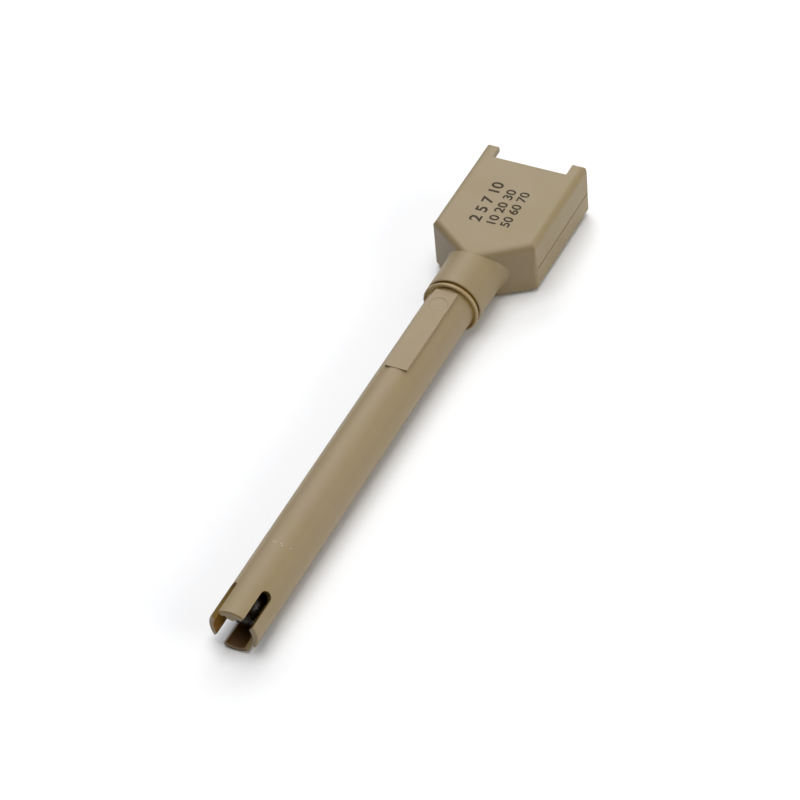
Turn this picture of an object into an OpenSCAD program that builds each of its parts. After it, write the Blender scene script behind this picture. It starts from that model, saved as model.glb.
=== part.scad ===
// Combination pH electrode: a slotted-guard stem with its glass bulb, reference
// chamber and collar, and a flat plug-in head that holds a small amplifier.
// Lengths along the electrode are distances from the sensing tip.

/* [Stem] */
// Outer diameter of the stem
stem_od = 12; // [11.6:0.1:12.4]
// Wall of the stem
stem_wall = 1.2; // [1:0.1:1.4]
// Length of the stem from its tip to its shoulder in the collar
stem_len = 113.4; // [108:0.1:125]
// Wall of the thinner end of the stem, inside the neck
spigot_wall = 0.8; // [0.7:0.05:0.9]
// Distance of the stem's rear end from the head's front corners
spigot_short = 6.3; // [5:0.1:8]
// Bevel round the tip of the stem
tip_bevel = 0.3; // [0.1:0.1:0.5]
// Draft of the stem's radius from the front of the pad to the shoulder
stem_draft = 0.05; // [0.03:0.01:0.1]

/* [Guard slots] */
// Number of slots round the bulb
slot_count = 4; // [3:1:5]
// Width of each slot
slot_w = 2.8; // [1.6:0.1:3.4]
// Length of each slot
slot_len = 10; // [7:0.5:11]
// Turn of the first slot from the top of the stem
slot_turn = 45; // [0:5:90]
// Width of the half-round nub inside the top finger's end
nub_w = 3.2; // [2.4:0.2:3.6]
// Rise of the nub over the inside of the guard
nub_rise = 1.2; // [0.6:0.1:1.3]
// Length of the nub
nub_len = 1.8; // [1:0.1:2]

/* [Marking pad] */
// Length of the pad
pad_len = 28.4; // [15:0.1:50]
// Width of the pad
pad_w = 5.8; // [5:0.1:7]
// Rise of the pad over the round of the stem
pad_rise = 0.1; // [0.06:0.02:0.3]
// Rounding of the pad's corners
pad_corner_r = 0.3; // [0.1:0.1:0.6]
// Gap between the pad and the collar ring
pad_end_gap = 0.8; // [0.2:0.1:1.2]
// Diameter of the round moulding mark in the pad
mark_d = 4.5; // [2:0.1:4.8]
// Depth of the moulding mark
mark_depth = 0.05; // [0.02:0.01:0.05]
// Distance of the mark's centre from the pad's rear end
mark_set = 4.8; // [3:0.1:8]

/* [Collar ring] */
// Diameter of the bead's section
bead_d = 1.05; // [0.95:0.05:1.2]
// Depth of the recess between the stem and the bead
ring_recess = 0.7; // [0.5:0.05:0.75]
// Gap between the stem and the bead
ring_gap = 0.65; // [0.4:0.05:0.7]
// Width of the groove between the bead and the neck
groove_w = 0.65; // [0.4:0.05:0.7]
// Depth of that groove
groove_depth = 0.6; // [0.4:0.05:0.65]
// Wall of the ring's sleeve in the neck
sleeve_wall = 0.65; // [0.55:0.05:0.7]
// Length of the ring's sleeve in the neck
sleeve_len = 3.6; // [2:0.2:6]

/* [Head] */
// Step from the stem out to the neck and to the bead of the ring
neck_step = 1.2; // [1.1:0.05:1.3]
// Length from the mouth of the neck to the front corners of the head
neck_len = 18.6; // [17.5:0.1:22]
// Bevel round the mouth of the neck
neck_bevel = 0.25; // [0.1:0.05:0.3]
// Radius of the hollow between the neck and the sloping shoulders
blend_r = 3.7; // [2:0.1:5]
// Width of the head at its seam
head_w = 27.4; // [26.4:0.2:30]
// Draft of each wall from the seam to the upper face
upper_draft = 0.15; // [0.05:0.05:0.3]
// Draft of each wall from the seam to the lower face
lower_draft = 0.15; // [0.05:0.05:0.3]
// Rise of the head's two faces over the neck
head_rise = 0.02; // [0.02:0.01:0.3]
// Length of the head from its front corners to the socket's edge
head_len = 27.3; // [26:0.1:34]
// Length of the side prongs behind the socket's edge
prong_len = 4.5; // [2:0.1:6]
// Width of each prong
prong_w = 3.8; // [2.8:0.1:4.2]
// Angle between each sloping shoulder and the stem
shoulder_angle = 54; // [50:1:60]
// Rounding of the upper long edges
edge_r = 1.8; // [0.8:0.1:2]
// Rounding of the lower long edges
lower_edge_r = 1.6; // [0.8:0.1:1.8]
// Rounding of the upright front corners
corner_r = 1.8; // [0.6:0.1:2]
// Rounding of the prongs' ends
end_r = 0.8; // [0.5:0.1:1.2]
// Thickness of the wall between the end of the stem and the head's inner room
throat_len = 4; // [3:0.5:5]
// Width of the rim that the end of the stem faces
throat_rim = 1; // [0.6:0.1:1.4]
// Rounding of the prongs' inner corners
prong_tip_r = 0.5; // [0.2:0.1:0.8]
// Wall of the two shells
shell_wall = 1.6; // [1.4:0.1:1.8]

/* [Seam] */
// Height of the seam below the electrode's axis
seam_drop = 0.7; // [0.5:0.1:1]
// Width of the seam's groove
seam_w = 0.25; // [0.15:0.05:0.4]
// Depth of the seam's groove
seam_depth = 0.4; // [0.2:0.1:0.6]
// Distance of the groove's start from the front corners
seam_set = 0.9; // [0.5:0.1:2]
// Thickness of the locating tongue
tongue_t = 0.8; // [0.6:0.1:1]
// Reach of the tongue below the seam
tongue_drop = 1.5; // [1:0.1:2.5]

/* [Glass and reference chamber] */
// Gap between the glass bulb and the guard
bulb_gap = 0.9; // [0.6:0.1:1.5]
// Distance of the bulb's centre from the tip
bulb_set = 7.3; // [6.5:0.1:8.6]
// Wall of the bulb
bulb_wall = 0.4; // [0.2:0.05:0.6]
// Room for the gel between the glass tube and the stem
gel_room = 2.3; // [2.1:0.1:2.6]
// Wall of the glass tube
glass_wall = 0.6; // [0.4:0.1:0.8]
// Distance of the glass tube's open end from the chamber plug's rear face
glass_short = 1.5; // [0.5:0.1:2]
// Distance of the filling's level in the glass tube from the tip
buffer_end = 46; // [30:1:80]
// Gap between the bulb and its seal
seal_gap = 1.1; // [0.8:0.1:3]
// Length of the bulb's seal
seal_len = 6; // [4:0.5:9]
// Diameter of the porous junction
junction_d = 1; // [0.8:0.1:1.2]
// Length of the junction beyond each face of the seal
junction_out = 0.3; // [0.1:0.1:0.6]
// Gap between the chamber plug and the joints of the wires
plug_gap = 0.5; // [0.2:0.1:2]
// Length of the chamber plug
plug_len = 6.5; // [5:0.5:8]
// Length of the glass tube's stopper
stopper_len = 4; // [3:0.5:5]

/* [Wires and leads] */
// Diameter of the measuring wire
measuring_d = 0.6; // [0.4:0.1:0.8]
// Distance of the measuring wire's front end from the bulb's centre
measuring_set = 2; // [0:0.5:6]
// Diameter of the reference wire
reference_d = 0.5; // [0.4:0.1:0.8]
// Length of the reference wire
reference_len = 52; // [30:1:80]
// Distance of the wires' rear ends from the stem's shoulder
wire_short = 1.5; // [1:0.1:3]
// Diameter of the insulated leads
lead_d = 1; // [0.9:0.1:1.1]
// Length of lead that lies on the circuit board
lead_on_board = 2.2; // [1.5:0.1:3]
// Wall of the sleeves over the joints
joint_wall = 0.3; // [0.2:0.1:0.5]
// Length of the sleeves over the joints
joint_len = 4; // [3:0.5:5]
// Length of the potting in the stem's thinner end
potting_len = 7; // [4:0.5:9]
// Distance of the potting from the end of the stem
potting_inset = 1; // [0.5:0.5:3]

/* [Circuit board] */
// Gap between the circuit board's side edges and the tongues
board_side_gap = 1.75; // [1:0.05:2.5]
// Thickness of the circuit board
board_t = 1.2; // [1:0.1:1.6]
// Gap between the board's front edge and the shell
board_gap = 0.5; // [0.3:0.1:1]
// Length of the board
board_len = 14.6; // [14:0.2:15]
// Thickness of the two ribs under the board
rib_t = 1.2; // [0.8:0.1:1.6]
// Distance of the front rib's middle from the board's front edge
rib_set = 2.8; // [2:0.1:3.2]
// Diameter of the posts that hold the board down
post_d = 1.6; // [1.2:0.1:1.8]
// Distance of the posts from the board's side edges
post_set = 1.5; // [1.3:0.1:1.7]
// Gap between the rear posts and the contact pins
post_gap = 0.3; // [0.2:0.1:0.4]
// Length of the amplifier chip, across the board
chip_len = 5; // [4.4:0.1:5.2]
// Width of the amplifier chip, along the board
chip_w = 4; // [3.6:0.1:4.2]
// Height of the amplifier chip
chip_h = 1.5; // [1.2:0.1:1.8]
// Height of the chip's body over the board
chip_lift = 0.1; // [0.05:0.05:0.2]
// Width of each chip lead
chip_lead_w = 0.4; // [0.3:0.05:0.5]
// Thickness of each chip lead
chip_lead_t = 0.2; // [0.15:0.05:0.25]
// Length of each chip lead's foot
chip_foot = 0.7; // [0.5:0.1:0.8]
// Distance of the chip's middle from the front rib's
chip_set = 4; // [3.8:0.1:4.2]
// Distance of the chip's middle from the board's right edge
chip_side = 5; // [4.8:0.1:6]
// Distance of the row of small parts from the leads' ends
row_gap = 0.4; // [0.2:0.1:0.6]
// Distance of the capacitors' middle from the board's left edge
capacitor_side = 4.8; // [4.6:0.1:5.4]
// Distance of the resistors' middle from the board's left edge
resistor_side = 3.3; // [3.1:0.1:3.4]
// Distance from one small part to the next
part_pitch = 2.5; // [2.3:0.1:2.6]
// Length of the small chip parts
part_len = 2; // [1.6:0.1:2.2]
// Width of the small chip parts
part_w = 1.2; // [0.8:0.1:1.4]
// Height of the resistors
resistor_h = 0.5; // [0.4:0.1:0.8]
// Height of the capacitors
capacitor_h = 0.9; // [0.6:0.1:1.2]
// Length of the solder caps at each end of the small chip parts
part_cap = 0.4; // [0.3:0.1:0.5]
// Thickness of those caps over the part's body
part_cap_t = 0.05; // [0.03:0.01:0.1]

/* [Plug connector] */
// Thickness of the connector block
block_t = 3; // [2.4:0.1:3.4]
// Clearance round the connector block
block_gap = 0.15; // [0.1:0.05:0.3]
// Height of the stops behind the connector block
stop_h = 0.8; // [0.5:0.1:1]
// Thickness of the stops
stop_t = 0.8; // [0.6:0.1:1.2]
// Number of contact pins
pin_count = 5; // [3:1:5]
// Distance between contact pins
pin_pitch = 2.54; // [2.4:0.02:2.8]
// Width of the square contact pins
pin_w = 0.64; // [0.5:0.02:0.8]
// Length of pin that stands in the socket
pin_out = 6; // [4:0.5:7]
// Length of pin that lies on the board
pin_on_board = 2; // [1.4:0.1:2.4]
// Length of the pins' pointed ends
pin_point = 0.6; // [0.4:0.1:1]

/* [Fits] */
// Radial clearance of the stem and the collar ring in the neck
fit_gap = 0.05; // [0.03:0.01:0.06]
// Clearance at the ends of the bores and round the tongue
end_gap = 0.15; // [0.1:0.05:0.25]

/* [Hidden] */
$fn = 96;

// Length that a cut runs past a face
over = 1;
// Depth that the hollow's end sinks into the shoulders, and the length left off where it has sunk in
blend_sink = 0.06;
blend_short = 0.2;

// Diameters, from the stem inwards and outwards
stem_bore = stem_od - 2 * stem_wall;
spigot_od = stem_bore + 2 * spigot_wall;
spigot_hole = spigot_od + 2 * fit_gap;
sleeve_od = spigot_hole + 2 * sleeve_wall;
neck_od = stem_od + 2 * neck_step;
ring_od = neck_od;
groove_od = neck_od - 2 * groove_depth;
lead_hole = spigot_od - 2 * throat_rim;
bulb_d = stem_bore - 2 * bulb_gap;
glass_od = stem_bore - 2 * gel_room;
glass_bore = glass_od - 2 * glass_wall;
reference_y = (stem_bore + glass_od) / 4;

// Distances from the tip, from front to rear
ring_front = stem_len - ring_recess;
groove_start = ring_front + bead_d;
neck_start = groove_start + groove_w;
corner_at = neck_start + neck_len;
socket_edge = corner_at + head_len;
overall_len = socket_edge + prong_len;
stem_end = corner_at - spigot_short;
pad_end = ring_front - pad_end_gap;
pad_start = pad_end - pad_len;
measuring_start = bulb_set + measuring_set;
seal_start = bulb_set + bulb_d / 2 + seal_gap;
seal_end = seal_start + seal_len;
wire_end = stem_len - wire_short;
reference_start = wire_end - reference_len;
joint_start = wire_end - joint_len / 2;
plug_end = joint_start - plug_gap;
plug_start = plug_end - plug_len;
glass_end = plug_end - glass_short;
potting_start = stem_end - potting_len - potting_inset;

// Heights over the face that the head rests on
head_t = neck_od + 2 * head_rise;
axis_z = head_t / 2;
seam_z = axis_z - seam_drop;
board_top = axis_z - lead_d / 2;
board_bottom = board_top - board_t;
cavity_bottom = shell_wall;
cavity_top = head_t - shell_wall;

// The plan of the head: the sloping shoulders would meet ahead of the front corners
shoulder_run = head_w / 2 / tan(shoulder_angle);
apex_at = corner_at - shoulder_run;
inner_apex_at = apex_at + shell_wall / sin(shoulder_angle);
blend_at = apex_at + neck_od / 2 / tan(shoulder_angle) - blend_r * tan(shoulder_angle / 2) + blend_sink;
blend_len = blend_r * sin(shoulder_angle) - blend_short;
cavity_w = head_w - 2 * shell_wall;
cavity_front = stem_end + end_gap + throat_len;
cavity_corner = inner_apex_at + cavity_w / 2 / tan(shoulder_angle);
cavity_front_w = 2 * (cavity_front - inner_apex_at) * tan(shoulder_angle);

// The board and the connector behind it
cover_wall_end = corner_at + shell_wall;
board_start = cover_wall_end + board_gap;
board_end = board_start + board_len;
block_end = board_end + block_t;
block_w = cavity_w - 2 * (tongue_t + end_gap + block_gap);
tongue_y = cavity_w / 2 - end_gap - tongue_t;
board_w = 2 * (tongue_y - board_side_gap);
front_hold = board_start + rib_set;
rear_hold = board_end - pin_on_board - post_gap - post_d / 2;
row_start = board_start + lead_on_board + row_gap;
chip_at = front_hold + chip_set;
chip_y = chip_side - board_w / 2;
chip_pitch = chip_len / 4;

// Places parts along the electrode's axis, their own Z pointing away from the tip
module at(distance) {
    translate([distance - overall_len / 2, 0, axis_z])
        rotate([0, 90, 0])
            children();
}

// Places parts at a distance from the tip and a height, with Z up
module upright(distance, z) {
    translate([distance - overall_len / 2, 0, z])
        children();
}

// Round tube, or a round rod where the bore is nothing
module tube(od, bore, h) {
    difference() {
        cylinder(d = od, h = h);
        if (bore > 0)
            translate([0, 0, -over])
                cylinder(d = bore, h = h + 2 * over);
    }
}

// Rectangle with round corners, centred
module round_rect(w, h, r) {
    square([w, h - 2 * r], center = true);
    square([w - 2 * r, h], center = true);
    for (sx = [-1, 1])
        for (sy = [-1, 1])
            translate([sx * (w / 2 - r), sy * (h / 2 - r)])
                circle(r);
}

function unit(v) = v / norm(v);
function turn(a, b) = acos(max(-1, min(1, a * b)));

// For corner i of a convex outline with radius r: where the rounding starts, ends and has its centre
function corner(points, i, r) =
    let (
        n = len(points),
        before = unit(points[i] - points[(i + n - 1) % n]),
        after = unit(points[(i + 1) % n] - points[i]),
        reach = r * tan(turn(before, after) / 2),
        start = points[i] - before * reach
    )
    [start, points[i] + after * reach, start + r * [-before.y, before.x]];

// Convex outline, counterclockwise, with a radius for each corner, nothing for a sharp one
module soft_outline(points, radii) {
    corners = [for (i = [0 : len(points) - 1]) corner(points, i, radii[i])];
    polygon([
        for (i = [0 : len(points) - 1])
            each radii[i] > 0 ? [corners[i][0], corners[i][1]] : [points[i]]
    ]);
    for (i = [0 : len(points) - 1])
        if (radii[i] > 0)
            translate(corners[i][2])
                circle(radii[i]);
}

// The head at its seam, seen from above
module head_plan() {
    soft_outline(
        [
            [apex_at, 0], [corner_at, -head_w / 2], [overall_len, -head_w / 2],
            [overall_len, head_w / 2], [corner_at, head_w / 2]
        ],
        [0, corner_r, end_r, end_r, corner_r]
    );
}

// The gap between the prongs seen from above, its mouth rounded
module notch_plan() {
    gap_w = head_w - 2 * prong_w;
    translate([socket_edge, -gap_w / 2])
        square([prong_len + over, gap_w]);
    for (side = [-1, 1])
        translate([overall_len - prong_tip_r, side * gap_w / 2])
            difference() {
                translate([0, side > 0 ? 0 : -prong_tip_r])
                    square([prong_tip_r + over, prong_tip_r]);
                translate([0, side * prong_tip_r])
                    circle(prong_tip_r);
            }
}

// Solid of the head: its plan, cut back by the drafted walls with their rounded edges
module head_solid() {
    intersection() {
        upright(0, -over)
            linear_extrude(head_t + 2 * over)
                head_plan();
        wall_slab(apex_at, 0, 270 - shoulder_angle);
        wall_slab(apex_at, 0, 90 + shoulder_angle);
        wall_slab(corner_at, -head_w / 2, 270);
        wall_slab(corner_at, head_w / 2, 90);
        end_slab();
    }
}

// Everything behind one wall of the head, which faces the heading and has a draft from the seam both ways
module wall_slab(distance, y, heading) {
    reach = 4 * head_w;
    upright(distance, axis_z)
        translate([0, y, 0])
            rotate([0, 0, heading])
                rotate([90, 0, 0])
                    linear_extrude(2 * overall_len, center = true)
                        soft_outline(
                            [
                                [-reach, -head_t / 2], [-lower_draft, -head_t / 2], [0, -seam_drop],
                                [-upper_draft, head_t / 2], [-reach, head_t / 2]
                            ],
                            [0, lower_edge_r, 0, edge_r, 0]
                        );
}

// Everything ahead of the rear end, with its rounded edges
module end_slab() {
    upright(overall_len / 2, axis_z)
        rotate([90, 0, 0])
            linear_extrude(head_w + 2 * over, center = true)
                round_rect(overall_len, head_t, end_r);
}

// Room inside the two shells, open at the rear
module cavity() {
    upright(0, cavity_bottom)
        linear_extrude(cavity_top - cavity_bottom)
            polygon([
                [cavity_front, -cavity_front_w / 2], [cavity_corner, -cavity_w / 2],
                [overall_len + over, -cavity_w / 2], [overall_len + over, cavity_w / 2],
                [cavity_corner, cavity_w / 2], [cavity_front, cavity_front_w / 2]
            ]);
}

// Gap between the prongs, through both shells
module notch() {
    upright(0, -over)
        linear_extrude(head_t + 2 * over)
            notch_plan();
}

// Block of space below the seam, behind the front corners
module cover_zone(z_low) {
    upright(corner_at, z_low)
        translate([0, -head_w, 0])
            cube([overall_len, 2 * head_w, seam_z - z_low]);
}

// Thin groove that shows the seam along both sides
module seam_groove() {
    for (side = [-1, 1])
        upright(corner_at + seam_set, seam_z)
            translate([0, side * head_w / 2 - seam_depth, 0])
                cube([head_len + prong_len, 2 * seam_depth, seam_w]);
}

module stem_tube() {
    pad_top = stem_od / 2 + pad_rise;
    color([0.62, 0.56, 0.45])
        difference() {
            union() {
                at(0)
                    cylinder(d1 = stem_od - 2 * tip_bevel, d2 = stem_od, h = tip_bevel);
                at(tip_bevel)
                    cylinder(d = stem_od, h = pad_start - tip_bevel);
                at(pad_start)
                    cylinder(d1 = stem_od, d2 = stem_od - 2 * stem_draft, h = stem_len - pad_start);
                at(stem_len - over)
                    cylinder(d = spigot_od, h = stem_end - stem_len + over);
                upright(pad_start + pad_len / 2, axis_z)
                    linear_extrude(pad_top)
                        round_rect(pad_len, pad_w, pad_corner_r);
            }
            difference() {
                at(-over)
                    cylinder(d = stem_bore, h = stem_end + 2 * over);
                finger_nub();
            }
            upright(pad_end - mark_set, axis_z + pad_top - mark_depth)
                cylinder(d = mark_d, h = over);
            for (i = [0 : slot_count - 1])
                at(0)
                    rotate([0, 0, slot_turn + i * 360 / slot_count])
                        guard_slot();
        }
}

// One slot in the guard: open at the tip, round at its closed end
module guard_slot() {
    straight = slot_len - slot_w / 2;
    rotate([0, 90, 0])
        linear_extrude(stem_od)
            union() {
                translate([-straight, -slot_w / 2])
                    square([straight + over, slot_w]);
                translate([-straight, 0])
                    circle(slot_w / 2);
            }
}

// Half-round nub inside the end of the guard's top finger
module finger_nub() {
    at(0)
        translate([-(stem_bore + nub_w) / 2 + nub_rise, 0, 0])
            cylinder(d = nub_w, h = nub_len);
}

module collar_ring() {
    inner_r = spigot_hole / 2;
    recess_r = stem_od / 2 + ring_gap;
    color([0.62, 0.55, 0.42])
        at(ring_front)
            rotate_extrude()
                difference() {
                    union() {
                        translate([ring_od / 2 - bead_d / 2, bead_d / 2])
                            circle(bead_d / 2);
                        translate([inner_r, ring_recess])
                            square([groove_od / 2 - inner_r, neck_start - stem_len]);
                        translate([inner_r, ring_recess])
                            square([sleeve_od / 2 - inner_r, neck_start - stem_len + sleeve_len]);
                    }
                    translate([0, -over])
                        square([recess_r, ring_recess + over]);
                    square([inner_r, bead_d]);
                }
}

module head_housing() {
    color([0.64, 0.58, 0.47])
        difference() {
            union() {
                difference() {
                    union() {
                        head_solid();
                        neck();
                        neck_blend();
                    }
                    cavity();
                }
                tongues();
                for (hold = [front_hold, rear_hold])
                    for (side = [-1, 1])
                        upright(hold, board_top)
                            translate([0, side * (board_w / 2 - post_set), 0])
                                cylinder(d = post_d, h = cavity_top - board_top + over / 2);
                upright(block_end, cavity_top - stop_h)
                    translate([0, -block_w / 2, 0])
                        cube([stop_t, block_w, stop_h + over / 2]);
            }
            difference() {
                cover_zone(-over);
                tongues();
            }
            notch();
            seam_groove();
            at(neck_start - over)
                cylinder(d = spigot_hole, h = stem_end + end_gap - neck_start + over);
            at(neck_start - over)
                cylinder(d = sleeve_od + 2 * fit_gap, h = sleeve_len + end_gap + over);
            at(stem_end)
                cylinder(d = lead_hole, h = cavity_front - stem_end + over);
        }
}

// Round neck with a bevelled mouth, running into the shoulders
module neck() {
    at(neck_start + neck_bevel)
        cylinder(d = neck_od, h = cavity_front - over / 2 - neck_start - neck_bevel);
    at(neck_start)
        cylinder(d1 = neck_od - 2 * neck_bevel, d2 = neck_od, h = neck_bevel);
}

// Hollow that eases the neck into the sloping shoulders, cut flat at the neck's own height
module neck_blend() {
    intersection() {
        at(blend_at)
            rotate_extrude()
                difference() {
                    square([neck_od / 2 + blend_r, blend_len]);
                    translate([neck_od / 2 + blend_r, 0])
                        circle(blend_r);
                }
        upright(blend_at, axis_z)
            translate([0, -neck_od, -neck_od / 2])
                cube([blend_len, 2 * neck_od, neck_od]);
    }
}

// Tongues inside the side walls that locate the cover
module tongues() {
    start = cover_wall_end + end_gap;
    for (side = [-1, 1])
        scale([1, side, 1]) {
            upright(start, seam_z - tongue_drop)
                translate([0, tongue_y, 0])
                    cube([socket_edge - start, tongue_t, 2 * tongue_drop]);
            upright(start, seam_z)
                translate([0, tongue_y, 0])
                    cube([socket_edge - start, tongue_t + 2 * end_gap, tongue_drop]);
        }
}

module head_cover() {
    rib_w = board_w - 2 * post_set;
    color([0.61, 0.55, 0.45])
        union() {
            difference() {
                intersection() {
                    head_solid();
                    cover_zone(-over);
                }
                upright(cover_wall_end, cavity_bottom)
                    translate([0, -cavity_w / 2, 0])
                        cube([overall_len, cavity_w, head_t]);
                notch();
            }
            for (hold = [front_hold, rear_hold])
                upright(hold - rib_t / 2, cavity_bottom - over / 2)
                    translate([0, -rib_w / 2, 0])
                        cube([rib_t, rib_w, board_bottom - cavity_bottom + over / 2]);
            upright(block_end, cavity_bottom - over / 2)
                translate([0, -block_w / 2, 0])
                    cube([stop_t, block_w, stop_h + over / 2]);
        }
}

// Blown glass: a thin bulb fused to the end of a tube
module sensing_glass() {
    color([0.30, 0.24, 0.14])
        at(bulb_set)
            difference() {
                union() {
                    sphere(d = bulb_d);
                    cylinder(d = glass_od, h = glass_end - bulb_set);
                }
                glass_room(glass_end - bulb_set + over);
            }
}

// Room inside the glass, from the bulb up to a height along the tube
module glass_room(h) {
    sphere(d = bulb_d - 2 * bulb_wall);
    cylinder(d = glass_bore, h = h);
}

module inner_buffer() {
    color([0.55, 0.62, 0.66])
        difference() {
            at(bulb_set)
                glass_room(buffer_end - bulb_set);
            measuring_wire();
        }
}

module bulb_seal() {
    color([0.20, 0.19, 0.18])
        difference() {
            at(seal_start)
                tube(stem_bore, glass_od, seal_len);
            reference_junction();
        }
}

module reference_junction() {
    color([0.90, 0.88, 0.82])
        at(seal_start - junction_out)
            translate([0, reference_y, 0])
                cylinder(d = junction_d, h = seal_len + 2 * junction_out);
}

module electrolyte_gel() {
    color([0.78, 0.82, 0.80])
        difference() {
            at(seal_end)
                tube(stem_bore, glass_od, plug_start - seal_end);
            reference_junction();
            reference_wire();
        }
}

module measuring_wire() {
    color([0.75, 0.75, 0.73])
        at(measuring_start)
            cylinder(d = measuring_d, h = wire_end - measuring_start);
}

module reference_wire() {
    color([0.72, 0.72, 0.70])
        at(reference_start)
            translate([0, reference_y, 0])
                cylinder(d = reference_d, h = wire_end - reference_start);
}

module glass_stopper() {
    color([0.16, 0.16, 0.16])
        at(glass_end - stopper_len)
            tube(glass_bore, measuring_d, stopper_len);
}

module chamber_plug() {
    color([0.25, 0.24, 0.23])
        difference() {
            at(plug_start)
                cylinder(d = stem_bore, h = plug_len);
            at(plug_start - over)
                cylinder(d = glass_od, h = glass_end - plug_start + over);
            reference_wire();
            measuring_wire();
        }
}

module wire_potting() {
    color([0.12, 0.12, 0.13])
        difference() {
            at(potting_start)
                cylinder(d = stem_bore, h = potting_len);
            signal_lead();
            reference_lead();
        }
}

// Sleeve over the joint between a wire and its lead
module joint_sleeve() {
    at(joint_start)
        tube(lead_d + 2 * joint_wall, lead_d, joint_len);
}

module signal_sleeve() {
    color([0.70, 0.12, 0.10])
        joint_sleeve();
}

module reference_sleeve() {
    color([0.10, 0.10, 0.10])
        translate([0, reference_y, 0])
            joint_sleeve();
}

// Insulated lead from the end of a wire to the circuit board
module lead() {
    at(wire_end)
        cylinder(d = lead_d, h = board_start + lead_on_board - wire_end);
}

module signal_lead() {
    color([0.85, 0.83, 0.78])
        lead();
}

module reference_lead() {
    color([0.15, 0.15, 0.15])
        translate([0, reference_y, 0])
            lead();
}

module circuit_board() {
    color([0.10, 0.35, 0.18])
        upright(board_start, board_bottom)
            translate([0, -board_w / 2, 0])
                cube([board_len, board_w, board_t]);
}

module amplifier_chip() {
    color([0.08, 0.08, 0.09])
        upright(chip_at, board_top + chip_lift)
            translate([-chip_w / 2, chip_y - chip_len / 2, 0])
                cube([chip_w, chip_len, chip_h]);
}

// Four bent leads on each side of the chip
module chip_leads() {
    color([0.80, 0.80, 0.78])
        for (side = [-1, 1])
            for (i = [-1.5 : 1.5])
                upright(chip_at, board_top)
                    translate([side * chip_w / 2, chip_y + i * chip_pitch, 0])
                        scale([side, 1, 1])
                            chip_lead();
}

module chip_lead() {
    mid = chip_lift + chip_h / 2;
    rise = chip_lead_t * 2;
    rotate([90, 0, 0])
        linear_extrude(chip_lead_w, center = true)
            polygon([
                [0, mid], [0, mid - chip_lead_t], [rise - chip_lead_t, mid - chip_lead_t],
                [rise - chip_lead_t, 0], [rise + chip_foot, 0], [rise + chip_foot, chip_lead_t],
                [rise, chip_lead_t], [rise, mid]
            ]);
}

// Row of small block parts along the board, each with a solder cap at both ends
module part_row(count, h, y) {
    for (i = [0 : count - 1])
        upright(row_start + i * part_pitch, board_top)
            translate([0, y - part_w / 2, 0]) {
                translate([part_cap, part_cap_t, 0])
                    cube([part_len - 2 * part_cap, part_w - 2 * part_cap_t, h - part_cap_t]);
                cube([part_cap, part_w, h]);
                translate([part_len - part_cap, 0, 0])
                    cube([part_cap, part_w, h]);
            }
}

module chip_resistors() {
    color([0.14, 0.14, 0.16])
        part_row(3, resistor_h, board_w / 2 - resistor_side);
}

module chip_capacitors() {
    color([0.55, 0.42, 0.28])
        part_row(3, capacitor_h, board_w / 2 - capacitor_side);
}

module connector_block() {
    color([0.10, 0.10, 0.10])
        difference() {
            upright(board_end, cavity_bottom)
                translate([0, -block_w / 2, 0])
                    cube([block_t, block_w, cavity_top - cavity_bottom - block_gap]);
            for (i = [1 : pin_count])
                contact_pin(i);
        }
}

// Square pin lying on the board, through the block and out into the socket, its tip pointed
module contact_pin(i) {
    start = board_end - pin_on_board;
    length = pin_on_board + block_t + pin_out;
    y = (i - (pin_count + 1) / 2) * pin_pitch;
    color([0.83, 0.68, 0.32])
        upright(start, board_top + pin_w / 2)
            translate([0, y, 0])
                intersection() {
                    linear_extrude(pin_w, center = true)
                        pin_outline(length);
                    rotate([90, 0, 0])
                        linear_extrude(pin_w, center = true)
                            pin_outline(length);
                }
}

module pin_outline(length) {
    polygon([
        [0, -pin_w / 2], [length - pin_point, -pin_w / 2], [length, -pin_w / 6],
        [length, pin_w / 6], [length - pin_point, pin_w / 2], [0, pin_w / 2]
    ]);
}

stem_tube();
collar_ring();
head_housing();
head_cover();
sensing_glass();
inner_buffer();
bulb_seal();
reference_junction();
electrolyte_gel();
measuring_wire();
reference_wire();
glass_stopper();
chamber_plug();
wire_potting();
signal_sleeve();
reference_sleeve();
signal_lead();
reference_lead();
circuit_board();
amplifier_chip();
chip_leads();
chip_resistors();
chip_capacitors();
connector_block();
contact_pin(1);  // contact_pin_1
contact_pin(2);  // contact_pin_2
contact_pin(3);  // contact_pin_3
contact_pin(4);  // contact_pin_4
contact_pin(5);  // contact_pin_5
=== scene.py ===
import bpy
import math
from mathutils import Matrix, Vector


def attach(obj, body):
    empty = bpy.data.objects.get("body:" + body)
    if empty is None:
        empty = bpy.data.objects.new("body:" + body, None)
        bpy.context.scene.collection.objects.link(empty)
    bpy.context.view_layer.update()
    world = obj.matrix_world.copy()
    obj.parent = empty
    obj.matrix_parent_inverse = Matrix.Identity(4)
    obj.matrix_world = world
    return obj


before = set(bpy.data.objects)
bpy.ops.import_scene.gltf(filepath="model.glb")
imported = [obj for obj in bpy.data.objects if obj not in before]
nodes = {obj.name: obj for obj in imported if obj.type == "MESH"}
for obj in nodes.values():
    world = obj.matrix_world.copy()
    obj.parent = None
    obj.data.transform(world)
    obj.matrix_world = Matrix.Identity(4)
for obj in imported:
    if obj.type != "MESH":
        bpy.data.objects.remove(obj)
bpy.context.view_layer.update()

scene = bpy.context.scene
mm = 0.001
tipAt = -82.4       # the sensing tip along X, in mm
axisHeight = 7.22   # the stem's middle over the table, in mm
faceHeight = 14.44  # the head's upper face over the table, in mm
print("frame loaded:", len(nodes), "nodes")


def station(distance):
    return (tipAt + distance) * mm


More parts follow.
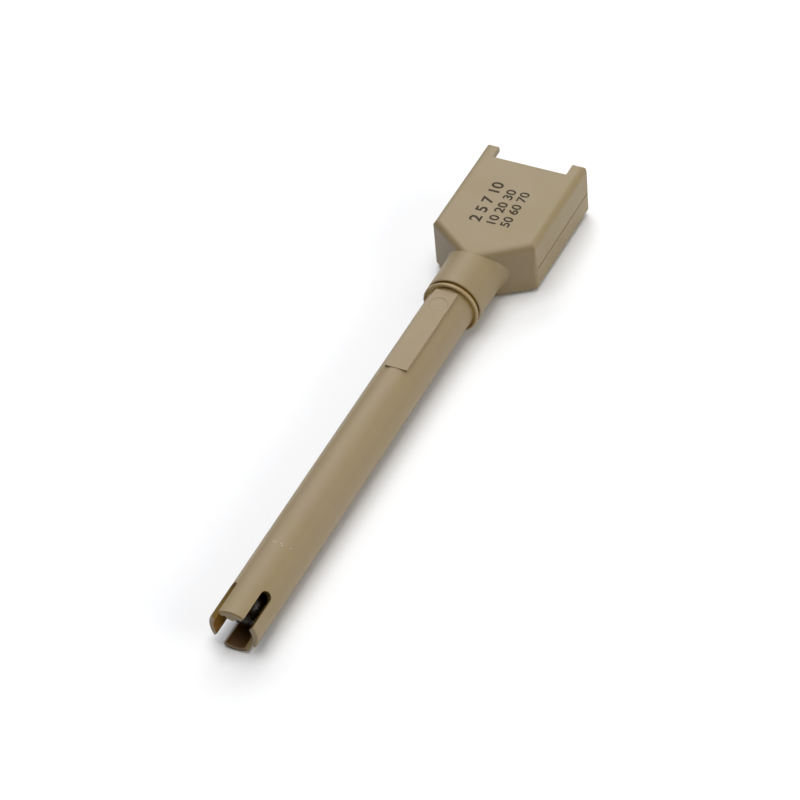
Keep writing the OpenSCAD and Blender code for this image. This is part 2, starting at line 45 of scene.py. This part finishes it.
# Small helpers for node trees
def newGroup(name, inputs, outputs):
    group = bpy.data.node_groups.new(name, "ShaderNodeTree")
    for label, kind, value in inputs:
        socket = group.interface.new_socket(name=label, in_out="INPUT", socket_type=kind)
        socket.default_value = value
    for label, kind in outputs:
        group.interface.new_socket(name=label, in_out="OUTPUT", socket_type=kind)
    return group, group.nodes.new("NodeGroupInput"), group.nodes.new("NodeGroupOutput")


def addNode(tree, kind, **values):
    node = tree.nodes.new(kind)
    for key, value in values.items():
        setattr(node, key, value)
    return node


def wire(tree, source, target):
    tree.links.new(source, target)


# Sets a number or a colour on a socket, or links it to another node
def feed(tree, socket, value):
    if isinstance(value, (int, float)):
        socket.default_value = value
    elif isinstance(value, (tuple, list)):
        size = len(socket.default_value)
        socket.default_value = (*value[:3], 1.0)[:size]
    else:
        wire(tree, value, socket)


def mathNode(tree, operation, first, second=0.0):
    node = addNode(tree, "ShaderNodeMath", operation=operation)
    feed(tree, node.inputs[0], first)
    feed(tree, node.inputs[1], second)
    return node.outputs[0]


# Goes smoothly from one number to the other while the value crosses the span
def rangeNode(tree, value, fromLow, fromHigh, toLow=0.0, toHigh=1.0):
    node = addNode(tree, "ShaderNodeMapRange", interpolation_type="SMOOTHSTEP")
    feed(tree, node.inputs["Value"], value)
    numbers = {"From Min": fromLow, "From Max": fromHigh, "To Min": toLow, "To Max": toHigh}
    for label, number in numbers.items():
        feed(tree, node.inputs[label], number)
    return node.outputs["Result"]


# One below the span, nothing above it
def fadeNode(tree, value, low, high):
    return rangeNode(tree, value, low, high, 1.0, 0.0)


def mixColour(tree, share, first, second):
    node = addNode(tree, "ShaderNodeMix", data_type="RGBA")
    for index, value in ((0, share), (6, first), (7, second)):  # factor and both colours
        feed(tree, node.inputs[index], value)
    return node.outputs[2]


def noiseAt(tree, place, scale, detail, roughness=0.55):
    node = addNode(tree, "ShaderNodeTexNoise")
    wire(tree, place, node.inputs["Vector"])
    node.inputs["Scale"].default_value = scale
    node.inputs["Detail"].default_value = detail
    node.inputs["Roughness"].default_value = roughness
    return node.outputs["Fac"]


def centred(tree, value):
    return mathNode(tree, "SUBTRACT", value, 0.5)


def blended(tree, first, second, share):
    return mathNode(tree, "ADD", mathNode(tree, "MULTIPLY", first, share),
                    mathNode(tree, "MULTIPLY", second, 1 - share))


def vectorTimes(tree, vector, factors):
    node = addNode(tree, "ShaderNodeVectorMath", operation="MULTIPLY")
    wire(tree, vector, node.inputs[0])
    node.inputs[1].default_value = factors
    return node.outputs[0]


# Noise scales per metre; the streaks are noise drawn out along the stem
grainLook = {"broadScale": 160, "driftScale": 62, "fineScale": 2600, "finestScale": 5200,
             "streakScale": 520, "drawnOut": (0.03, 1.0, 1.0), "pinker": (1.02, 1.00, 1.10),
             "driftSpan": (0.38, 0.66), "glossSpan": (0.3, 0.7), "speck": 0.05, "share": 0.6}


# Fine grain of a mould over the soft mottling of the plastic, which drifts a little towards pink
def mouldedGrain():
    group, inside, outside = newGroup(
        "mouldedGrain",
        [("Colour", "NodeSocketColor", (0.24, 0.17, 0.09, 1)),
         ("Mottle", "NodeSocketFloat", 0.06), ("Streaks", "NodeSocketFloat", 0.0),
         ("Gloss low", "NodeSocketFloat", 0.36), ("Gloss high", "NodeSocketFloat", 0.5)],
        [("Colour", "NodeSocketColor"), ("Roughness", "NodeSocketFloat"),
         ("Height", "NodeSocketFloat")])
    asked = inside.outputs
    place = addNode(group, "ShaderNodeTexCoord").outputs["Object"]
    broad = noiseAt(group, place, grainLook["broadScale"], 4)
    fine = noiseAt(group, place, grainLook["fineScale"], 2, 0.6)
    finest = noiseAt(group, place, grainLook["finestScale"], 1, 0.5)
    drawn = vectorTimes(group, place, grainLook["drawnOut"])
    streaks = noiseAt(group, drawn, grainLook["streakScale"], 3)

    drift = noiseAt(group, place, grainLook["driftScale"], 3)
    drift = rangeNode(group, drift, *grainLook["driftSpan"])
    pinker = vectorTimes(group, asked["Colour"], grainLook["pinker"])
    tinted = mixColour(group, drift, asked["Colour"], pinker)
    shift = mathNode(group, "MULTIPLY", centred(group, broad), asked["Mottle"])
    speck = mathNode(group, "MULTIPLY", centred(group, fine), grainLook["speck"])
    flow = mathNode(group, "MULTIPLY", centred(group, streaks), asked["Streaks"])
    level = mathNode(group, "ADD", mathNode(group, "ADD", shift, speck),
                     mathNode(group, "ADD", flow, 1.0))
    scaled = addNode(group, "ShaderNodeVectorMath", operation="SCALE")
    wire(group, tinted, scaled.inputs[0])
    wire(group, level, scaled.inputs["Scale"])
    wire(group, scaled.outputs[0], outside.inputs["Colour"])

    gloss = rangeNode(group, blended(group, broad, fine, grainLook["share"]),
                      *grainLook["glossSpan"], asked["Gloss low"], asked["Gloss high"])
    wire(group, gloss, outside.inputs["Roughness"])
    wire(group, blended(group, fine, finest, grainLook["share"]), outside.inputs["Height"])
    return group


# Distance from the sensing tip, from the stem's middle, over that middle and to its left, in mm
def stemPlace():
    names = ("Station", "Radius", "Rise", "Across")
    group, _, outside = newGroup("stemPlace", [], [(name, "NodeSocketFloat") for name in names])
    place = addNode(group, "ShaderNodeTexCoord").outputs["Object"]
    parts = addNode(group, "ShaderNodeSeparateXYZ")
    wire(group, place, parts.inputs[0])
    x, y, z = [mathNode(group, "MULTIPLY", part, 1 / mm) for part in parts.outputs]
    along = mathNode(group, "SUBTRACT", x, tipAt)
    up = mathNode(group, "SUBTRACT", z, axisHeight)
    square = mathNode(group, "ADD", mathNode(group, "POWER", y, 2), mathNode(group, "POWER", up, 2))
    for name, value in zip(names, (along, mathNode(group, "SQRT", square), up, y)):
        wire(group, value, outside.inputs[name])
    return group


grainGroup = mouldedGrain()
placeOnStem = stemPlace()


def newMaterial(name, **constants):
    material = bpy.data.materials.new(name)
    material.use_nodes = True
    shader = material.node_tree.nodes["Principled BSDF"]
    for label, value in constants.items():
        shader.inputs[label.replace("_", " ")].default_value = value
    return material, material.node_tree, shader


def bumpFrom(tree, shader, height, strength, distance):
    bump = addNode(tree, "ShaderNodeBump")
    bump.inputs["Strength"].default_value = strength
    bump.inputs["Distance"].default_value = distance
    wire(tree, height, bump.inputs["Height"])
    wire(tree, bump.outputs["Normal"], shader.inputs["Normal"])


def placeGroup(tree, group, **values):
    node = addNode(tree, "ShaderNodeGroup", node_tree=group)
    for label, value in values.items():
        feed(tree, node.inputs[label.replace("_", " ")], value)
    return node


# Colour and gloss with their grain; the height that comes back is for a bump
def layGrain(tree, shader, colour, mottle, streaks, glossLow, glossHigh):
    grain = placeGroup(tree, grainGroup, Colour=colour, Mottle=mottle, Streaks=streaks,
                       Gloss_low=glossLow, Gloss_high=glossHigh)
    wire(tree, grain.outputs["Colour"], shader.inputs["Base Color"])
    wire(tree, grain.outputs["Roughness"], shader.inputs["Roughness"])
    return grain.outputs["Height"]


# The outer pieces are one olive grey resin; amber is painted where the part lies in shade, as
# painted shade and painted glow.
# Each shading works on a place in mm: along from the tip, from the axis, over it, and across.
resin = {"ior": 1.5, "shine": 0.4, "bumpDistance": 0.00004}


def mouldedPlastic(name, settings, shading):
    material, tree, shader = newMaterial(name, IOR=resin["ior"], Specular_IOR_Level=resin["shine"])
    where = placeGroup(tree, placeOnStem).outputs
    colour = shading(tree, settings, where["Station"], where["Radius"], where["Rise"],
                     where["Across"])
    height = layGrain(tree, shader, colour, settings["mottle"], settings["streaks"],
                      settings["glossLow"], settings["glossHigh"])
    bumpFrom(tree, shader, height, settings["grain"], resin["bumpDistance"])
    return material


# Pale specks on the stem, each at its angle from the top and a step off their common station
flecks = {"at": 23.0, "angles": (-11, -5, 8, 12.5, 31), "steps": (0.05, -0.05, -0.05, -0.5, 0.0),
          "onRadius": 6.0, "size": 0.30, "core": 0.3, "colour": (0.36, 0.31, 0.22)}


def fleckPoints():
    points = []
    radius = flecks["onRadius"]
    for angle, step in zip(flecks["angles"], flecks["steps"]):
        turn = math.radians(angle)
        points.append((station(flecks["at"] + step), -radius * math.sin(turn) * mm,
                       (axisHeight + radius * math.cos(turn)) * mm))
    return points


# Soft spots of another colour round points on the surface
def withFlecks(tree, colour):
    place = addNode(tree, "ShaderNodeTexCoord").outputs["Object"]
    covered = 0.0
    for point in fleckPoints():
        gap = addNode(tree, "ShaderNodeVectorMath", operation="DISTANCE")
        wire(tree, place, gap.inputs[0])
        gap.inputs[1].default_value = point
        reach = flecks["size"] * mm
        inReach = fadeNode(tree, gap.outputs["Value"], flecks["core"] * reach, reach)
        covered = mathNode(tree, "MAXIMUM", covered, inReach)
    return mixColour(tree, covered, colour, flecks["colour"])


stemPlastic = {
    "colour": (0.239, 0.180, 0.091), "mottle": 0.08, "streaks": 0.09,
    "glossLow": 0.38, "glossHigh": 0.50, "grain": 0.30,
    "markAt": 107.1, "markRadius": 2.25, "markShade": 0.86,   # the round moulding mark
    "markRim": (0.04, 0.22), "markRise": (5.0, 5.5),
    "guardSpan": (14.0, 15.0), "endFace": (0.03, 0.12),
    "guardPaintedShade": (0.085, 0.040, 0.006), "guardPaintedGlow": (0.225, 0.112, 0.014),
    "wallRadius": (4.86, 5.05), "glowRise": (-4.0, -1.0),
    "slotLeftPaintedGlow": (0.200, 0.125, 0.030), "slotRightPaintedShade": (0.070, 0.042, 0.012),
    "slotRadius": (5.55, 5.95), "slotAcross": (-1.0, 1.0),
    "lowEndPaintedShade": (0.150, 0.100, 0.035), "lowRise": (-3.4, -2.0), "lowReach": (3.0, 9.0),
    "ringRecessPaintedGlow": (0.620, 0.460, 0.140), "ringSpan": (112.7, 112.85),
}


# Painted shade and painted glow in the guard: its inside is painted darkest at the bottom, with a
# painted amber glow on its upper walls
def stemShading(tree, settings, along, radius, rise, across):
    inGuard = mathNode(tree, "MULTIPLY", rangeNode(tree, along, *settings["endFace"]),
                       fadeNode(tree, along, *settings["guardSpan"]))
    # painted shade on the guard's inner walls, lighter towards the top as painted glow
    innerWallShade = mathNode(tree, "MULTIPLY", fadeNode(tree, radius, *settings["wallRadius"]), inGuard)
    # painted light and shade on the slot walls: amber glow on the left side, shade on the right
    slotWallPaint = mathNode(tree, "MULTIPLY", fadeNode(tree, radius, *settings["slotRadius"]), inGuard)
    # painted shade on the lower finger's end, low down near the tip
    lowEndPaintedShade = mathNode(tree, "MULTIPLY", fadeNode(tree, rise, *settings["lowRise"]),
                      fadeNode(tree, along, *settings["lowReach"]))
    slotPaintedLight = mixColour(tree, rangeNode(tree, across, *settings["slotAcross"]),
                           settings["slotRightPaintedShade"], settings["slotLeftPaintedGlow"])
    paintedGuardLight = mixColour(tree, rangeNode(tree, rise, *settings["glowRise"]),
                     settings["guardPaintedShade"], settings["guardPaintedGlow"])
    # painted amber glow on the stem inside the ring's recess, in place of its shade
    ringRecessGlowShare = rangeNode(tree, along, *settings["ringSpan"])

    # painted shade along the rim of the round moulding mark
    offMark = mathNode(tree, "SUBTRACT", along, settings["markAt"])
    square = mathNode(tree, "ADD", mathNode(tree, "POWER", offMark, 2),
                      mathNode(tree, "POWER", across, 2))
    fromRim = mathNode(tree, "SUBTRACT", mathNode(tree, "SQRT", square), settings["markRadius"])
    fromRim = mathNode(tree, "ABSOLUTE", fromRim)
    markRimShade = mathNode(tree, "MULTIPLY", fadeNode(tree, fromRim, *settings["markRim"]),
                   rangeNode(tree, rise, *settings["markRise"]))
    markShadeColour = [settings["markShade"] * part for part in settings["colour"]]

    colour = mixColour(tree, markRimShade, settings["colour"], markShadeColour)
    colour = withFlecks(tree, colour)
    colour = mixColour(tree, slotWallPaint, colour, slotPaintedLight)
    colour = mixColour(tree, lowEndPaintedShade, colour, settings["lowEndPaintedShade"])
    colour = mixColour(tree, innerWallShade, colour, paintedGuardLight)
    return mixColour(tree, ringRecessGlowShare, colour, settings["ringRecessPaintedGlow"])


ringPlastic = {
    "colour": (0.312, 0.230, 0.108), "mottle": 0.05, "streaks": 0.0,
    "glossLow": 0.32, "glossHigh": 0.42, "grain": 0.20,
    "shade": (0.620, 0.460, 0.140), "grooveShade": (0.150, 0.088, 0.014),
    "insideRadius": (6.64, 6.69), "grooveSpan": (113.65, 113.75),
}


# Painted glow in the recess in front of the bead, bright amber, and painted shade in the groove
# behind it, dark
def ringShading(tree, settings, along, radius, rise, across):
    inside = fadeNode(tree, radius, *settings["insideRadius"])
    behind = rangeNode(tree, along, *settings["grooveSpan"])
    shade = mixColour(tree, behind, settings["shade"], settings["grooveShade"])
    return mixColour(tree, inside, settings["colour"], shade)


headPlastic = {
    "colour": (0.233, 0.178, 0.088), "mottle": 0.06, "streaks": 0.03,
    "glossLow": 0.40, "glossHigh": 0.52, "grain": 0.35,
    "mouthShade": (0.150, 0.088, 0.014), "mouthSpan": (114.42, 114.52),
    "seamShade": (0.060, 0.042, 0.015), "seamRise": -0.7, "seamHalf": 0.2,
    "seamFrom": 133.5, "seamInside": 13.6,
}


# Painted shade in the mouth of the neck; dark at the bottom of the seam
def headShading(tree, settings, along, radius, rise, across):
    mouthPaintedShade = fadeNode(tree, along, *settings["mouthSpan"])
    offSeam = mathNode(tree, "ABSOLUTE", mathNode(tree, "SUBTRACT", rise, settings["seamRise"]))
    inSeam = mathNode(tree, "MULTIPLY",
                      mathNode(tree, "LESS_THAN", offSeam, settings["seamHalf"]),
                      mathNode(tree, "GREATER_THAN", along, settings["seamFrom"]))
    below = mathNode(tree, "LESS_THAN", mathNode(tree, "ABSOLUTE", across), settings["seamInside"])
    inSeam = mathNode(tree, "MULTIPLY", inSeam, below)
    colour = mixColour(tree, mouthPaintedShade, settings["colour"], settings["mouthShade"])
    return mixColour(tree, inSeam, colour, settings["seamShade"])


stemMaterial = mouldedPlastic("stemPlastic", stemPlastic, stemShading)
ringMaterial = mouldedPlastic("ringPlastic", ringPlastic, ringShading)
headMaterial = mouldedPlastic("headPlastic", headPlastic, headShading)
outerFinishes = {"stem_tube": stemMaterial, "collar_ring": ringMaterial,
                 "head_housing": headMaterial, "head_cover": headMaterial}

# Finishes of the inner pieces, each with a small spread of its gloss
innerGrain = {"mottle": 0.05, "glossSpread": 0.06, "leastGloss": 0.02,
              "metalBump": 0.02, "plainBump": 0.1, "bumpDistance": 0.00003}


def plainFinish(name, colour, roughness, metal=0.0, shine=0.5):
    material, tree, shader = newMaterial(name, Metallic=metal, Specular_IOR_Level=shine)
    height = layGrain(tree, shader, colour, innerGrain["mottle"], 0.0,
                      max(roughness - innerGrain["glossSpread"], innerGrain["leastGloss"]),
                      roughness + innerGrain["glossSpread"])
    strength = innerGrain["metalBump"] if metal else innerGrain["plainBump"]
    bumpFrom(tree, shader, height, strength, innerGrain["bumpDistance"])
    return material


# Glass that is still wet, so it glints less than dry glass
bulbGlass = {"colour": (0.50, 0.38, 0.24), "ior": 1.34, "shine": 0.05, "mottle": 0.02,
             "glossLow": 0.26, "glossHigh": 0.33}


def wetGlass():
    material, tree, shader = newMaterial("wetGlass", IOR=bulbGlass["ior"], Transmission_Weight=1.0,
                                         Specular_IOR_Level=bulbGlass["shine"])
    layGrain(tree, shader, bulbGlass["colour"], bulbGlass["mottle"], 0.0,
             bulbGlass["glossLow"], bulbGlass["glossHigh"])
    return material


innerFinishes = {
    "sensing_glass": wetGlass(),
    "inner_buffer": plainFinish("bufferLiquid", (0.024, 0.016, 0.010), 0.42, shine=0.04),
    "bulb_seal": plainFinish("sealResin", (0.020, 0.016, 0.010), 0.35),
    "reference_junction": plainFinish("junctionCeramic", (0.40, 0.37, 0.30), 0.7),
    "electrolyte_gel": plainFinish("referenceGel", (0.55, 0.57, 0.55), 0.15),
    "measuring_wire": plainFinish("measuringSilver", (0.70, 0.69, 0.66), 0.3, 1.0),
    "reference_wire": plainFinish("referenceSilver", (0.66, 0.65, 0.62), 0.36, 1.0),
    "glass_stopper": plainFinish("stopperRubber", (0.02, 0.02, 0.02), 0.7),
    "chamber_plug": plainFinish("plugRubber", (0.025, 0.024, 0.023), 0.65),
    "wire_potting": plainFinish("pottingResin", (0.015, 0.015, 0.016), 0.3),
    "signal_sleeve": plainFinish("redSleeve", (0.35, 0.03, 0.02), 0.5),
    "reference_sleeve": plainFinish("blackSleeve", (0.02, 0.02, 0.02), 0.5),
    "signal_lead": plainFinish("whiteInsulation", (0.60, 0.58, 0.52), 0.4),
    "reference_lead": plainFinish("blackInsulation", (0.02, 0.02, 0.02), 0.4),
    "circuit_board": plainFinish("boardLaminate", (0.02, 0.11, 0.04), 0.35),
    "amplifier_chip": plainFinish("chipBlack", (0.02, 0.02, 0.022), 0.5),
    "chip_leads": plainFinish("solderMetal", (0.62, 0.62, 0.60), 0.35, 1.0),
    "chip_resistors": plainFinish("resistorCeramic", (0.03, 0.03, 0.032), 0.35),
    "chip_capacitors": plainFinish("capacitorCeramic", (0.24, 0.15, 0.08), 0.4),
    "connector_block": plainFinish("connectorPlastic", (0.02, 0.02, 0.021), 0.45),
}
pinGold = plainFinish("pinGold", (0.70, 0.48, 0.16), 0.25, 1.0)


def dress(node, material):
    for materialSlot in node.material_slots:
        materialSlot.link = "OBJECT"
        materialSlot.material = material
    if not node.material_slots:
        node.data.materials.append(material)


for name, node in nodes.items():
    if name.startswith("contact_pin"):
        dress(node, pinGold)
    else:
        dress(node, outerFinishes.get(name) or innerFinishes[name])
print("materials on", len(nodes), "nodes")


# Plain numbers on the head, in three rows, each with its start, end, lower and upper edge in mm
headPrint = {
    "ink": (0.026, 0.017, 0.008), "gloss": 0.62, "shine": 0.15,
    "depth": 0.02, "film": 0.002, "bold": 0.08, "letterSize": 4,
    "rows": (("2 5 7 10", 136.5, 151.8, 2.6, 5.7), ("10 20 30", 137.0, 150.3, -1.3, 1.2),
             ("50 60 70", 137.0, 150.5, -4.8, -2.3)),
}


# One row of numbers, fitted between two stations and two distances from the middle
def printedRow(text, start, end, low, high, ink):
    curve = bpy.data.curves.new("row", "FONT")
    curve.body = text
    curve.size = headPrint["letterSize"] * mm
    curve.offset = headPrint["bold"] * mm
    curve.extrude = 0.5 * (headPrint["depth"] + headPrint["film"]) * mm
    holder = bpy.data.objects.new("row", curve)
    scene.collection.objects.link(holder)
    bpy.context.view_layer.update()
    solid = holder.evaluated_get(bpy.context.evaluated_depsgraph_get())
    mesh = bpy.data.meshes.new_from_object(solid)
    bpy.data.objects.remove(holder)
    across = [v.co.x for v in mesh.vertices]
    up = [v.co.y for v in mesh.vertices]
    left, bottom = min(across), min(up)
    scaleX = (end - start) * mm / (max(across) - left)
    scaleY = (high - low) * mm / (max(up) - bottom)
    middle = (faceHeight + 0.5 * (headPrint["film"] - headPrint["depth"])) * mm
    for v in mesh.vertices:
        v.co = (station(start) + (v.co.x - left) * scaleX,
                low * mm + (v.co.y - bottom) * scaleY, middle + v.co.z)
    mesh.materials.clear()
    mesh.materials.append(ink)
    return mesh


def buildPrint():
    ink = plainFinish("printInk", headPrint["ink"], headPrint["gloss"], shine=headPrint["shine"])
    for i, row in enumerate(headPrint["rows"]):
        piece = bpy.data.objects.new("headPrint_%d" % (i + 1), printedRow(*row, ink))
        scene.collection.objects.link(piece)
        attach(piece, "root")


buildPrint()
print("print on the head ready")


# The floor leans so that the electrode rests on its guard and on its neck
floorLook = {"colour": (0.851, 0.856, 0.870), "shine": 0.1, "roughness": 0.9,
             "tilt": 0.601, "touchAt": 114.65, "touchHeight": 0.02, "reach": 3.0}


def buildFloor():
    slope = math.tan(math.radians(floorLook["tilt"]))
    touch = station(floorLook["touchAt"])
    reach = floorLook["reach"]
    corners = [(x, y, floorLook["touchHeight"] * mm - slope * (x - touch))
               for x, y in ((-reach, -reach), (reach, -reach), (reach, reach), (-reach, reach))]
    mesh = bpy.data.meshes.new("floor")
    mesh.from_pydata(corners, [], [(0, 1, 2, 3)])
    floor = bpy.data.objects.new("floor", mesh)
    scene.collection.objects.link(floor)
    material, _, shader = newMaterial("paleFloor", Specular_IOR_Level=floorLook["shine"],
                                      Roughness=floorLook["roughness"])
    shader.inputs["Base Color"].default_value = (*floorLook["colour"], 1)
    mesh.materials.append(material)


# Soft boxes, all equally far away and turned to the part
studio = {"worldColour": (1.0, 1.0, 1.0), "worldStrength": 0.02, "boxDistance": 2.1}
softboxes = {
    "keyBox": {"direction": (0.55, 0.55, 0.60), "size": 1.4, "power": 15.2},
    "backBox": {"direction": (0.80, 0.10, 0.50), "size": 1.4, "power": 15.7},
    "backRightBox": {"direction": (0.50, -0.70, 0.45), "size": 1.4, "power": 6.2},
    "rightBox": {"direction": (0.00, -0.95, 0.35), "size": 1.4, "power": 20.6,
                 "colour": (1.0, 0.97, 0.91)},
    "topBox": {"direction": (0.02, 0.08, 1.00), "size": 1.7, "power": 36.5},
}


def buildLights():
    world = bpy.data.worlds.new("studioWorld")
    world.use_nodes = True
    background = world.node_tree.nodes["Background"]
    background.inputs["Color"].default_value = (*studio["worldColour"], 1)
    background.inputs["Strength"].default_value = studio["worldStrength"]
    scene.world = world
    for name, box in softboxes.items():
        data = bpy.data.lights.new(name, "AREA")
        data.shape = "SQUARE"
        data.size = box["size"]
        data.energy = box["power"]
        data.color = box.get("colour", (1.0, 1.0, 1.0))
        lamp = bpy.data.objects.new(name, data)
        lamp.location = Vector(box["direction"]).normalized() * studio["boxDistance"]
        lamp.rotation_euler = (-lamp.location).to_track_quat("-Z", "Y").to_euler()
        scene.collection.objects.link(lamp)


buildFloor()
buildLights()


# Camera at the photograph's viewing angle
camera = {"place": (-0.50588, -0.28634, 0.55000), "right": (0.4289, -0.9004, -0.0733),
          "up": (0.6428, 0.2472, 0.725), "back": (-0.6347, -0.3581, 0.6848),
          "lens": 153.43, "sensorWidth": 36, "nearest": 0.01, "farthest": 10}


def buildCamera():
    data = bpy.data.cameras.new("camera")
    data.sensor_width = camera["sensorWidth"]
    data.lens = camera["lens"]
    data.clip_start = camera["nearest"]
    data.clip_end = camera["farthest"]
    eye = bpy.data.objects.new("camera", data)
    scene.collection.objects.link(eye)
    turn = Matrix((camera["right"], camera["up"], camera["back"])).transposed()
    eye.matrix_world = Matrix.Translation(camera["place"]) @ turn.to_4x4()
    scene.camera = eye


buildCamera()
scene.view_settings.view_transform = "Standard"
print("studio and camera ready")
